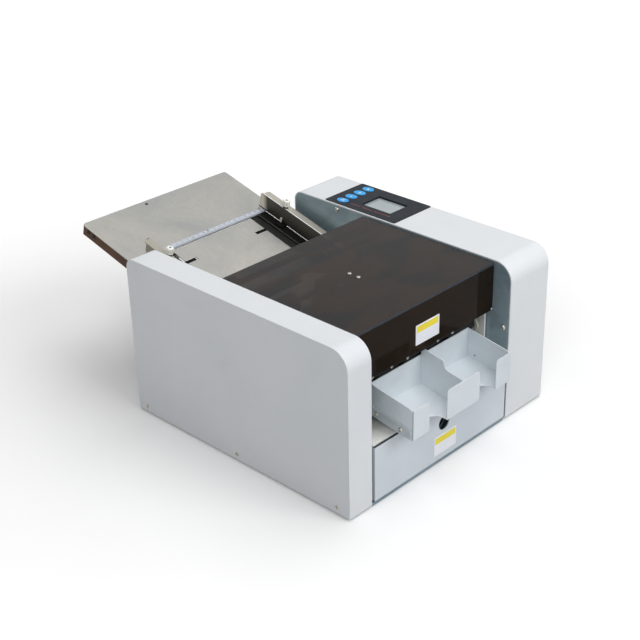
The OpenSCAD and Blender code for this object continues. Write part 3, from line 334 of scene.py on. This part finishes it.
def guide_finish(name):
    """Side guide: plated sheet with a black foot and clip and a pale pin; its inner face carries a
    painted reflection of the black foot, darker towards the table, in front of the ruler and
    painted light behind it, the right guide has painted highlights along its folds, and the left
    guide is painted darker as painted shade.
    """
    s = Shader(new_material(name))
    drift = s.remap(s.noise(9.0, detail=5.0, roughness=0.6, distortion=0.6), 0.33, 0.67)
    lines = s.noise(420.0, stretch=(1, 0.05, 0.4), detail=4.0, roughness=0.6)
    x, y, _ = s.position()
    up = s.above_table()
    foot_edge = GUIDE_FACE - GUIDE_FOOT_W + 0.35
    past_face = GUIDE_FACE + 0.05
    aside = s.math("ABSOLUTE", s.math("SUBTRACT", x, FEED_X * MM), 0.0)
    step = place(0.0, RULER_D[0], 0.0).y
    over_ruler = s.remap(y, step - 5 * MM, step + 3 * MM)
    tone = s.mix(drift, rgb(186, 181, 170), rgb(172, 167, 156))
    tone = s.mix(s.remap(lines, 0.3, 0.7, 0.0, 0.2), tone, rgb(140, 136, 126))
    # Painted shade: the left guide is a darker copy of the same sheet.
    tone = s.mix(s.math("LESS_THAN", x, FEED_X * MM), tone, rgb(166, 161, 150))
    rounded = s.bevel(0.5)
    # Inner face: a painted reflection of the black foot, darker towards the table, in front of the
    # ruler, and painted light, a pale face, behind it.
    inner_face = s.math(
        "MULTIPLY", s.within(aside, GUIDE_FACE - 0.2, past_face), s.within(up, 1.9, GUIDE_H - 0.6)
    )
    painted_foot_reflection = s.mix(s.remap(up, 2 * MM, 20 * MM), rgb(44, 43, 40), rgb(84, 82, 75))
    tone = s.mix(inner_face, tone, s.mix(over_ruler, painted_foot_reflection, rgb(228, 220, 204)))
    black = s.math("MULTIPLY", s.within(aside, foot_edge, past_face), s.within(up, 0.9, 3.75))
    on_foot = s.math("LESS_THAN", aside, (GUIDE_FACE - 0.7) * MM)
    pin = s.math("MULTIPLY", on_foot, s.within(up, 3.75, 12.0))
    tone = s.mix(pin, s.mix(black, tone, rgb(20, 20, 20)), rgb(212, 207, 196))
    lip = s.math("MULTIPLY", s.within(aside, 0.0, foot_edge), s.within(up, 0.0, 4.0))
    tone = s.mix(lip, tone, rgb(104, 102, 97))
    # Painted highlights along the right guide's top fold and the root of its upright.
    fold_line = s.math(
        "MULTIPLY", s.within(aside, GUIDE_FACE - 0.3, GUIDE_FACE + 1.1),
        s.within(up, GUIDE_H - 0.6, GUIDE_H + 0.2),
    )
    root_line = s.math(
        "MULTIPLY", s.within(aside, GUIDE_FACE - 0.9, past_face), s.within(up, 0.9, 1.9)
    )
    on_right = s.math("GREATER_THAN", x, FEED_X * MM)
    painted_highlight = s.math("MULTIPLY", s.math("MAXIMUM", fold_line, root_line), on_right)
    tone = s.mix(painted_highlight, tone, rgb(250, 250, 247))
    # The painted light and shade zones, with the black foot and pin, are not metallic.
    painted_light_and_shade = s.math("MAXIMUM", painted_highlight, inner_face)
    plain = s.math("MAXIMUM", s.math("MAXIMUM", black, pin), painted_light_and_shade)
    s.set(
        Base_Color=tone,
        Metallic=s.remap(plain, 0.0, 1.0, 0.35, 0.0),
        Roughness=s.remap(s.math("ADD", drift, lines), 0.7, 1.4, 0.3, 0.4),
        Specular_IOR_Level=s.remap(black, 0.0, 1.0, 0.3, 0.06),
        Normal=s.bumps(lines, 0.03, 0.05, rounded),
    )
    return s.material


def knob_finish(name):
    """White nylon knob on a dark collar and a steel stud."""
    s = Shader(new_material(name))
    up = s.above_table()
    collar = s.within(up, GUIDE_H, GUIDE_H + COLLAR_H)
    stud = s.math("LESS_THAN", up, GUIDE_H * MM)
    drift = s.remap(s.noise(60.0, detail=3.0), 0.35, 0.65)
    tone = s.mix(drift, rgb(246, 246, 238), rgb(238, 238, 228))
    rounded = s.bevel(0.4)
    # Paler rounded edges: a painted highlight.
    tone = s.mix(s.math("MULTIPLY", s.edges(rounded), 0.4), tone, rgb(252, 252, 248))
    tone = s.mix(stud, s.mix(collar, tone, rgb(52, 42, 34)), rgb(150, 150, 148))
    s.set(
        Base_Color=tone,
        Metallic=stud,
        Roughness=s.remap(s.noise(90.0, detail=4.0), 0.3, 0.7, 0.36, 0.46),
        Normal=s.bumps(s.noise(1100.0, detail=2.0), 0.04, 0.25, rounded),
    )
    return s.material


def overlay(material, mask, colour):
    """Mixes a colour over a finished material, where mask(shader) says."""
    s = Shader(material)
    base = s.principled.inputs["Base Color"]
    s.feed(base, s.mix(mask(s), base.links[0].from_socket, colour))


def tray_seams(s):
    """The dark line of a butted sheet corner at each of the tray's front corners."""
    x, y, _ = s.position()
    front = FRONT_Y - TRAY_OVERHANG
    across = s.math("MAXIMUM", *(s.within(x, edge - 0.5, edge + 0.5) for edge in TRAY_X))
    seam = s.math("MULTIPLY", across, s.within(y, front + 0.5, front + 1.5))
    return s.math("MULTIPLY", seam, 0.75)


def drawer_felt(s):
    """A painted shadow line along the front of the drawer's folded top edge, where the gap above
    the drawer lies in shade.
    """
    _, y, z = s.position()
    top = s.math("GREATER_THAN", z, (DRAWER_TOP - 0.2) * MM)
    return s.math("MULTIPLY", top, s.within(y, FRONT_Y + 0.4, FRONT_Y + 3.4))


COVER = painted("cover_paint", rgb(223, 226, 229), rgb(219, 223, 227), dirt=0.05)
# The tray's near-white edge colour is a painted highlight along its top edges, as well as wear.
TRAY = painted(
    "tray_paint", rgb(216, 223, 228), rgb(208, 216, 222), edge=rgb(250, 252, 253), dirt=0.16
)
overlay(TRAY, tray_seams, rgb(84, 88, 92))
DRAWER = painted("drawer_paint", rgb(208, 215, 222), rgb(202, 210, 218), dirt=0.07)
# Painted shadow: a dark line in the gap above the drawer front.
overlay(DRAWER, drawer_felt, rgb(38, 40, 42))
FRAME = painted("frame_paint", rgb(240, 239, 234), rgb(233, 233, 228), dirt=0.1)
ZINC = metal(
    "zinc_plate", rgb(140, 158, 168), rgb(116, 136, 148), rough=(0.34, 0.46), brush=(1, 0.15, 1),
    scale=220.0, metallic=0.75,
)
BRACKET = metal(
    "bracket_plate", rgb(204, 211, 215), rgb(188, 197, 203), rough=(0.36, 0.48), brush=(1, 0.15, 1),
    scale=220.0, metallic=0.2,
)
PANEL = metal(
    "panel_plate", rgb(172, 192, 200), rgb(126, 150, 161), rough=(0.3, 0.42), brush=(1, 0.15, 1),
    scale=220.0, metallic=0.4,
)
# The wide rounding gives a broad painted highlight along the table's folded edges.
STAINLESS = metal(
    "stainless_sheet", rgb(184, 181, 174), rgb(152, 153, 151), brush=(1, 0.04, 1), scale=420.0,
    cloud=7.0, round_mm=0.8,
)
GUIDE = guide_finish("guide_sheet")
KNOB = knob_finish("guide_knob")
STEEL = metal(
    "ground_steel", rgb(188, 190, 192), rgb(170, 172, 175), rough=(0.22, 0.34), brush=(0.2, 1, 1),
    scale=300.0,
)
BROWN = painted(
    "rail_brown", rgb(84, 52, 30), rgb(62, 42, 26), edge=rgb(120, 84, 60), grain=700.0,
    rough=(0.5, 0.65), specular=0.25,
)
BLACK = painted(
    "black_coat", rgb(22, 22, 23), rgb(18, 18, 19), edge=rgb(60, 60, 62), grain=1100.0,
    rough=(0.38, 0.5), specular=0.12,
)
SLOT = painted(
    "slot_plate_black", rgb(34, 34, 33), rgb(26, 26, 25), edge=rgb(90, 90, 90), grain=1100.0,
    rough=(0.34, 0.46), specular=0.12,
)
SMOKED_TOP = smoked(
    "smoked_acrylic_top", rgb(54, 44, 38), rgb(38, 38, 39), 0.82, rgb(60, 68, 78), 0.1
)
SMOKED_FRONT = smoked(
    "smoked_acrylic_front", rgb(38, 28, 20), rgb(28, 24, 19), 0.93, rgb(60, 64, 70), 0.04
)
BEZEL = plastic(
    "bezel_film", rgb(42, 46, 52), rgb(37, 41, 47), rough=(0.42, 0.5), edge=rgb(70, 76, 84),
    Specular_IOR_Level=0.06,
)
KEY_BLUE = plastic(
    "key_blue", rgb(8, 166, 236), rgb(6, 150, 226), rough=(0.3, 0.38), edge=rgb(80, 180, 244),
    Specular_IOR_Level=0.3,
)
LCD = plastic(
    "lcd_glass", rgb(164, 173, 177), rgb(156, 166, 171), rough=(0.08, 0.14), strength=0.03
)
NYLON = plastic("nylon", rgb(222, 222, 208), rgb(210, 210, 196), edge=rgb(240, 240, 232))
BLACK_PLASTIC = plastic("black_plastic", rgb(32, 33, 35), rgb(26, 27, 29), edge=rgb(70, 72, 76))
RUBBER = plastic(
    "rubber", rgb(38, 38, 38), rgb(30, 30, 30), rough=(0.7, 0.85), grain=600.0, strength=0.5
)
BELT = plastic(
    "belt_rubber", rgb(28, 28, 29), rgb(22, 22, 23), rough=(0.6, 0.75), grain=900.0, strength=0.5
)
MOTOR = plastic(
    "motor_paint", rgb(44, 46, 50), rgb(36, 38, 42), rough=(0.45, 0.6), edge=rgb(110, 112, 116)
)
PAD = plastic(
    "notch_pad", rgb(12, 12, 12), rgb(8, 8, 8), rough=(0.5, 0.6), grain=700.0,
    Specular_IOR_Level=0.08,
)
RULER = painted(
    "ruler_face", rgb(190, 196, 206), rgb(184, 191, 202), edge=rgb(225, 228, 232), grain=2000.0
)
SCREW = screw_finish("screw_steel")
BOARD = circuit_board_finish("circuit_board")
INK = plastic("black_ink", rgb(28, 28, 30), rgb(36, 36, 38), rough=(0.5, 0.6), round_mm=0.05)
WHITE_INK = plastic(
    "white_ink", rgb(240, 246, 250), rgb(232, 240, 246), rough=(0.4, 0.5), round_mm=0.05
)
RED_INK = plastic(
    "red_ink", rgb(128, 36, 40), rgb(112, 32, 36), rough=(0.45, 0.55), round_mm=0.05
)
STICKER = {"rough": (0.3, 0.4), "round_mm": 0.1}
LABEL = plastic("label_white", rgb(238, 240, 246), rgb(230, 233, 240), **STICKER)
YELLOW = plastic("label_yellow", rgb(240, 222, 40), rgb(234, 214, 34), **STICKER)

FINISH = {
    COVER: ["left_side_cover", "right_side_cover", "rear_panel"],
    TRAY: ["card_tray", "tray_divider"],
    DRAWER: ["drawer_front"],
    FRAME: [
        "left_frame_plate", "right_frame_plate", "drawer_bay_top", "paper_guide_plates",
        "cross_beams",
    ],
    PANEL: ["left_inner_panel", "right_inner_panel"],
    ZINC: ["base_plate", "drawer_bin", "motor_bracket", "blade_carriage"],
    BRACKET: ["tray_brackets"],
    STAINLESS: ["feed_table", "lift_plate"],
    GUIDE: ["left_side_guide", "right_side_guide"],
    STEEL: [
        "lower_slitter", "upper_slitter", "lower_blade", "upper_blade", "blade_guide_posts",
        "cutter_shaft", "motor_pulley", "lift_springs",
    ],
    BROWN: ["table_side_rails"],
    BLACK: ["exit_bar"],
    SLOT: ["guide_slot_plate"],
    SMOKED_TOP: ["smoked_top"],
    SMOKED_FRONT: ["smoked_front"],
    BEZEL: ["control_bezel"],
    KEY_BLUE: ["menu_key", "minus_key", "plus_key", "start_key"],
    LCD: ["lcd_display"],
    KNOB: ["left_guide_knob", "right_guide_knob"],
    NYLON: ["shaft_bushes"],
    BLACK_PLASTIC: ["power_inlet", "power_switch"],
    RUBBER: [
        "rubber_feet", "pickup_roller", "lower_feed_roller", "upper_feed_roller",
        "lower_delivery_roller", "upper_delivery_roller",
    ],
    BELT: ["drive_belts"],
    MOTOR: ["feed_motor", "cutter_motor"],
    RULER: ["ruler_strip"],
    SCREW: ["cover_screws", "bracket_screws", "cover_fittings"],
    BOARD: ["circuit_boards"],
}
for material, names in FINISH.items():
    for name in names:
        mesh = NODES[name].data
        mesh.materials.clear()
        mesh.materials.append(material)


# ---- detail pieces ----


def prism(mesh, outline, place_at, low, high, slot=0):
    """Adds a closed prism to a bmesh: the outline at two heights, through place_at(u, v, w)."""
    rings = [[mesh.verts.new(place_at(u, v, w)) for u, v in outline] for w in (low, high)]
    count = len(outline)
    faces = [mesh.faces.new(rings[0][::-1]), mesh.faces.new(rings[1])]
    for k in range(count):
        n = (k + 1) % count
        faces.append(mesh.faces.new([rings[0][k], rings[0][n], rings[1][n], rings[1][k]]))
    for face in faces:
        face.material_index = slot


def rounded_box(x0, x1, y0, y1, r, steps=4):
    """Outline of a rectangle with round corners."""
    points = []
    x0, x1, y0, y1 = x0 + r, x1 - r, y0 + r, y1 - r
    for cx, cy, start in ((x1, y0, -90), (x1, y1, 0), (x0, y1, 90), (x0, y0, 180)):
        for k in range(steps + 1):
            a = math.radians(start + 90 * k / steps)
            points.append((cx + r * math.cos(a), cy + r * math.sin(a)))
    return points


def rectangle(x0, x1, y0, y1):
    return [(x0, y0), (x1, y0), (x1, y1), (x0, y1)]


def add_object(name, data):
    made = bpy.data.objects.new(name, data)
    bpy.context.scene.collection.objects.link(made)
    return made


def add_piece(name, mesh, body, materials):
    """Makes an object of a bmesh, gives it the listed materials, and lets it ride on a body."""
    bmesh.ops.recalc_face_normals(mesh, faces=mesh.faces)
    data = bpy.data.meshes.new(name)
    mesh.to_mesh(data)
    mesh.free()
    for material in materials:
        data.materials.append(material)
    made = add_object(name, data)
    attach(made, body)


def number_outlines(text, size):
    """Vertices and faces of a number in Blender's own font, centred on X and standing on Y = 0."""
    curve = bpy.data.curves.new("number", "FONT")
    curve.body = text
    curve.size = size
    curve.align_x = "CENTER"
    curve.resolution_u = 2
    curve.extrude = 0.02
    source = add_object("number", curve)
    bpy.context.view_layer.update()
    data = bpy.data.meshes.new_from_object(source)
    points = [tuple(v.co) for v in data.vertices]
    faces = [tuple(p.vertices) for p in data.polygons]
    bpy.data.objects.remove(source)
    bpy.data.curves.remove(curve)
    bpy.data.meshes.remove(data)
    return points, faces


RULER_ZERO_X = RULER_X[0] + 3.0
RULER_LENGTH = 220


def ruler_marks():
    """Printed scale: millimetre ticks along the front edge and a number at each centimetre."""
    mesh = bmesh.new()
    front = RULER_D[0] + 0.3
    for step in range(RULER_LENGTH + 1):
        x = RULER_ZERO_X + step
        length = 3.4 if step % 10 == 0 else 2.6 if step % 5 == 0 else 1.7
        half = 0.16 if step % 10 == 0 else 0.11
        tick = rectangle(x - half, x + half, front, front + length)
        prism(mesh, tick, on_table, RULER_TOP, RULER_TOP + 0.06)
    for number in range(1, RULER_LENGTH // 10):
        points, faces = number_outlines(str(number), 3.4)
        x, d = RULER_ZERO_X + 10 * number, RULER_D[0] + 4.6
        made = [
            mesh.verts.new(on_table(x + u, d + v, RULER_TOP + 0.03 + w)) for u, v, w in points
        ]
        for face in faces:
            mesh.faces.new([made[i] for i in face])
    add_piece("ruler_marks", mesh, "machine_frame", [INK])


def key_glyphs():
    """White symbols let into the four keys: three bars, minus, plus and a triangle."""
    arm, half = 2.6, 0.5
    shapes = {
        "menu": [rectangle(-3.4, 3.4, y - 0.45, y + 0.45) for y in (-2.2, 0.0, 2.2)],
        "minus": [rectangle(-arm, arm, -half, half)],
        "plus": [
            [
                (-arm, -half), (-half, -half), (-half, -arm), (half, -arm), (half, -half),
                (arm, -half), (arm, half), (half, half), (half, arm), (-half, arm),
                (-half, half), (-arm, half),
            ]
        ],
        "start": [[(-2.0, -2.4), (2.4, 0.0), (-2.0, 2.4)]],
    }
    for x, (key, outlines) in zip(KEY_X, shapes.items()):
        mesh = bmesh.new()
        for outline in outlines:
            prism(
                mesh, outline, lambda u, v, w: place(x + u, KEY_D + v, KEY_TOP + w), -0.3, -0.03
            )
        add_piece(key + "_glyph", mesh, key + "_button", [WHITE_INK])


def label(name, body, x0, x1, z0, z1, d):
    """Blank sticker on a front face: white, with a yellow band. X is from the left cover."""
    mesh = bmesh.new()

    def at(u, v, w):
        return place(LEFT_X + u, d - w, v)

    prism(mesh, rounded_box(x0, x1, z0, z1, 1.0), at, 0.0, 0.12, 0)
    prism(mesh, rectangle(x0 + 2.0, x1 - 2.0, z1 - 11.0, z1 - 2.2), at, 0.1, 0.18, 1)
    add_piece(name, mesh, body, [LABEL, YELLOW])


def bezel_print():
    """Thin red line beside the window, in three lengths."""
    mesh = bmesh.new()
    for d0, d1 in ((221.7, 252), (256, 274), (278, 296)):
        line = rectangle(128.4, 129.8, d0, d1)
        prism(mesh, line, lambda u, v, w: place(u, v, BEZEL_TOP + w), -0.02, 0.05)
    add_piece("bezel_print", mesh, "machine_frame", [RED_INK])


def disc_piece(name, body, at, radius, low, high, material):
    """Small closed disc between two heights, through at(u, v, w)."""
    mesh = bmesh.new()
    angles = [math.radians(15 * k) for k in range(24)]
    prism(mesh, [(radius * math.cos(a), radius * math.sin(a)) for a in angles], at, low, high)
    add_piece(name, mesh, body, [material])


def notch_pads():
    """Dark friction pads that show in the lift plate's two notches."""
    mesh = bmesh.new()
    half_x, half_d = 9.5, 3.6
    for side in (-1, 1):
        x = FEED_X + side * 66.8
        pad = rectangle(x - half_x, x + half_x, CLAMP_D - half_d, CLAMP_D + half_d)
        prism(mesh, pad, on_table, -2.9, -1.55)
    add_piece("notch_pads", mesh, "lift", [PAD])


def knob_sockets():
    """Dark end of the socket in each guide knob."""
    for knob, side in (("left_knob", -1), ("right_knob", 1)):
        x = FEED_X + side * CLAMP_X
        disc_piece(
            knob + "_socket", knob,
            lambda u, v, w: on_table(x + u, CLAMP_D + v * math.cos(TABLE_ANGLE), SOCKET_UP + w),
            1.5, 0.0, 0.15, INK,
        )


ruler_marks()
key_glyphs()
label("lid_label", "smoked_cover", 152, 197.5, 169.7, 197.7, SMOKED_FRONT_D)
label("drawer_label", "waste_drawer", 159.4, 203.6, 14.2, 42, 0.0)
bezel_print()
notch_pads()
disc_piece(
    "table_rivet", "machine_frame", lambda u, v, w: on_table(u - 47, 535 + v, w), 2.4, -0.05, 0.35,
    MOTOR,
)
knob_sockets()
disc_piece(
    "ruler_rivet", "machine_frame", lambda u, v, w: on_table(u - 17, 439.6 + v, RULER_TOP + w),
    1.2, 0.0, 0.25, INK,
)
# White disc at the lid's lower right corner: a painted glint.
disc_piece(
    "lid_corner_glint", "smoked_cover",
    lambda u, v, w: place(SMOKED_RIGHT - 1.9 + u, SMOKED_FRONT_D - w, SMOKED_BOTTOM_Z + 1.9 + v),
    1.2, 0.0, 0.3, LABEL,
)


# ---- stage, lights and camera ----


WORLD_LIGHT = 0.3
# White added to the seen floor, by distance in metres from the object: under it, round it, far off
FLOOR_NEAR, FLOOR_ROUND, FLOOR_FAR = 0.35, 1.2, 3.0
LIFT_NEAR, LIFT_ROUND, LIFT_FAR = 0.07, 0.42, 0.58


def grey(level):
    return (level, level, level, 1.0)


def seen_rays(tree):
    """1 for rays from the camera, a reflection or through glass, 0 for light on the object."""
    rays = tree.nodes.new("ShaderNodeLightPath").outputs
    seen = rays["Is Camera Ray"]
    for other in ("Is Glossy Ray", "Is Transmission Ray"):
        either = tree.nodes.new("ShaderNodeMath")
        either.operation = "MAXIMUM"
        tree.links.new(seen, either.inputs[0])
        tree.links.new(rays[other], either.inputs[1])
        seen = either.outputs[0]
    return seen


def stage_floor():
    """Pale floor that keeps the object's shadow and turns white further away."""
    data = bpy.data.meshes.new("floor")
    half = 6.0
    corners = [(-half, -half, 0.0), (half, -half, 0.0), (half, half, 0.0), (-half, half, 0.0)]
    data.from_pydata(corners, [], [(0, 1, 2, 3)])
    floor = add_object("floor", data)
    s = Shader(new_material("floor_white"))
    seen = seen_rays(s.tree)
    x, y, _ = s.position()
    spot = s.node("ShaderNodeCombineXYZ", {0: x, 1: y}).outputs[0]
    away = s.node("ShaderNodeVectorMath", {0: spot}, operation="LENGTH").outputs["Value"]
    lift = s.math(
        "ADD", s.remap(away, FLOOR_NEAR, FLOOR_ROUND, LIFT_NEAR, LIFT_ROUND),
        s.remap(away, FLOOR_ROUND, FLOOR_FAR, 0.0, LIFT_FAR),
    )
    grain = s.remap(s.noise(3.0), 0.3, 0.7)
    s.set(
        Base_Color=s.mix(
            seen, s.mix(grain, grey(0.56), grey(0.54)), s.mix(grain, grey(0.9), grey(0.88))
        ),
        Roughness=0.9,
        Specular_IOR_Level=0.0,
        Emission_Color=grey(1.0),
        Emission_Strength=s.math("MULTIPLY", seen, lift),
    )
    data.materials.append(s.material)


def studio_world():
    """Soft grey light on the object, and plain white where the camera or a reflection sees past."""
    world = bpy.data.worlds.new("studio")
    bpy.context.scene.world = world
    world.use_nodes = True
    tree = world.node_tree
    background = next(n for n in tree.nodes if n.type == "BACKGROUND")
    background.inputs["Color"].default_value = grey(1.0)
    strength = tree.nodes.new("ShaderNodeMapRange")
    strength.inputs["To Min"].default_value = WORLD_LIGHT
    strength.inputs["To Max"].default_value = 1.0
    tree.links.new(seen_rays(tree), strength.inputs["Value"])
    tree.links.new(strength.outputs[0], background.inputs["Strength"])


def softbox(name, location, target, size, watts):
    """Rectangular lamp at a place, aimed at a point."""
    lamp = bpy.data.lights.new(name, "AREA")
    lamp.shape = "RECTANGLE"
    lamp.size, lamp.size_y = size
    lamp.energy = watts
    holder = add_object(name, lamp)
    holder.location = location
    direction = Vector(target) - Vector(location)
    holder.rotation_euler = direction.to_track_quat("-Z", "Y").to_euler()


stage_floor()
studio_world()
softbox("softbox_top", (1.1, -0.5, 4.4), (0.0, 0.0, 0.1), (3.6, 2.8), 80.0)
softbox("softbox_front", (0.9, -4.2, 3.0), (0.0, 0.0, 0.12), (3.2, 2.0), 92.0)
softbox("softbox_left", (-3.2, -2.6, 3.6), (0.0, 0.0, 0.12), (2.8, 2.4), 76.0)

camera_data = bpy.data.cameras.new("camera")
camera_data.sensor_width = 36.0
camera_data.lens = 74.207
camera_data.shift_x = -0.09915
camera_data.shift_y = -0.00875
camera_data.clip_end = 50.0
camera = add_object("camera", camera_data)
camera.location = (-1.14225, -1.14771, 0.95643)
camera.rotation_euler = (1.0918607, 0.0007001, -0.8469937)
bpy.context.scene.camera = camera
bpy.context.scene.view_settings.view_transform = "Standard"
